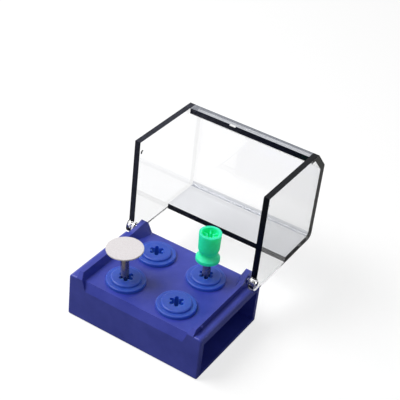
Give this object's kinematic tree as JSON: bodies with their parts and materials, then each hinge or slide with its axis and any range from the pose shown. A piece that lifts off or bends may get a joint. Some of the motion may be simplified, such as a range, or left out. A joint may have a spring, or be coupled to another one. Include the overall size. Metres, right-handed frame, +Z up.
{
  "type": "dental bur block",
  "caption": "Small box that stands rotary dental instruments upright in soft silicone holders, with a clear lid hinged at the back.",
  "frame": {"origin": "centre of the base's underside", "axes": "+X along the base's long side, +Y from the front to the hinge side, +Z up; the lid stands open by a quarter turn at rest"},
  "size_m": [0.043, 0.0614, 0.0439],
  "materials": {
    "base_plastic": "moulded, softly glossy blue",
    "clear_plastic": "clear, see-through, polished",
    "silicone": "translucent blue, satin",
    "steel": "turned and polished",
    "disc_face": "fine matte white",
    "cup_rubber": "smooth, slightly translucent green"
  },
  "bodies": {
    "base": {"base": "base_plastic", "holder_front_left": "silicone", "holder_front_right": "silicone", "holder_back_left": "silicone", "holder_back_right": "silicone", "disc_shank": "steel", "polishing_disc": "disc_face", "cup_shank": "steel", "prophy_cup": "cup_rubber"},
    "lid": {"lid": "clear_plastic"}
  },
  "joints": [
    {"name": "lid_hinge", "type": "hinge", "parent": "base", "child": "lid", "pos_m": [0, 0.0129, 0.015], "axis": [1, 0, 0], "range_deg": [0, 90]}
  ]
}
